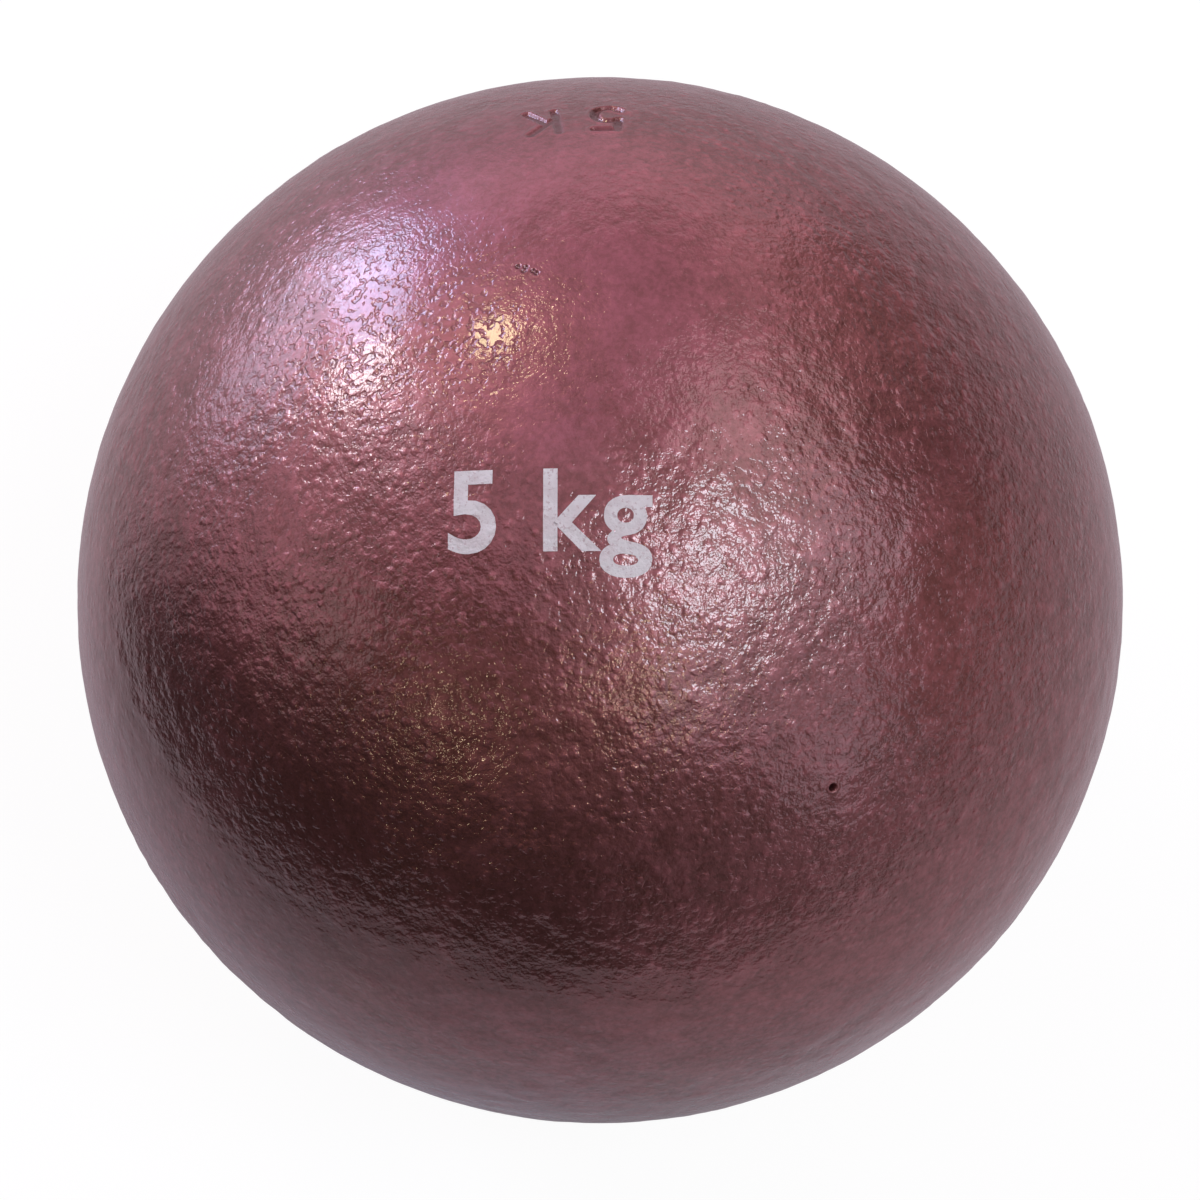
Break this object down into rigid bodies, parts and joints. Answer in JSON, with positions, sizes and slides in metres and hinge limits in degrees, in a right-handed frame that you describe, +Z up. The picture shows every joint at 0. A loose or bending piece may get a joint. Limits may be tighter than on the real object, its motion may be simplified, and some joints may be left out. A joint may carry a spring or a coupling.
{
  "type": "shot put",
  "caption": "Rough-cast iron throwing ball of 5 kg with a painted skin, and a drilled chamber at its back that holds lead ballast behind a flush screw plug.",
  "frame": {"origin": "the ball's centre", "axes": "+Y runs along the bore, out of its mouth at the ball's back; +Z is up; the weight mark lies above the plug"},
  "size_m": [0.11, 0.11, 0.11],
  "materials": {
    "painted_iron": "satin",
    "cast_lead": "satin",
    "punched_lead": "satin",
    "red_fibre": "matte",
    "painted_plug": "satin"
  },
  "bodies": {
    "root": {"ball_casting": "painted_iron", "lead_ballast": "cast_lead", "lead_trim_disc": "punched_lead", "packing_disc": "red_fibre", "screw_plug": "painted_plug"}
  },
  "joints": []
}
